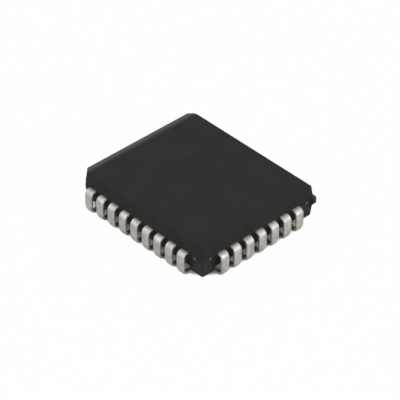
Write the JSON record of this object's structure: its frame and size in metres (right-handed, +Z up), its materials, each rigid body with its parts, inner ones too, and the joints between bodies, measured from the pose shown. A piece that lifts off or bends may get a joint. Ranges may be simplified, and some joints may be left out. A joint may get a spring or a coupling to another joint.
{
  "type": "plastic leaded chip carrier",
  "caption": "Rectangular surface-mount chip: black moulded body with a cut index corner and bevelled edge, and J-bent leads curled under all four sides.",
  "frame": {"origin": "middle of the seating plane, on which the bottoms of all the J-leads stand", "axes": "+Z up through the top face, +Y along the long side towards the bevelled edge with lead 1, +X to the right of that seen from above"},
  "size_m": [0.0124, 0.015, 0.0033],
  "materials": {
    "moulding": "fine matt moulded epoxy, near black",
    "lead": "satin tin plate on copper alloy",
    "pad": "bare copper alloy sheet, cut ends dull",
    "adhesive": "grey silver-filled epoxy",
    "silicon": "polished dark silicon",
    "wire": "drawn gold wire"
  },
  "bodies": {
    "root": {"package_body": "moulding", "lead_01": "lead", "lead_02": "lead", "lead_03": "lead", "lead_04": "lead", "lead_05": "lead", "lead_06": "lead", "lead_07": "lead", "lead_08": "lead", "lead_09": "lead", "lead_10": "lead", "lead_11": "lead", "lead_12": "lead", "lead_13": "lead", "lead_14": "lead", "lead_15": "lead", "lead_16": "lead", "lead_17": "lead", "lead_18": "lead", "lead_19": "lead", "lead_20": "lead", "lead_21": "lead", "lead_22": "lead", "lead_23": "lead", "lead_24": "lead", "lead_25": "lead", "lead_26": "lead", "lead_27": "lead", "lead_28": "lead", "lead_29": "lead", "lead_30": "lead", "lead_31": "lead", "lead_32": "lead", "die_pad": "pad", "die_attach": "adhesive", "die": "silicon", "bond_wires": "wire"}
  },
  "joints": []
}
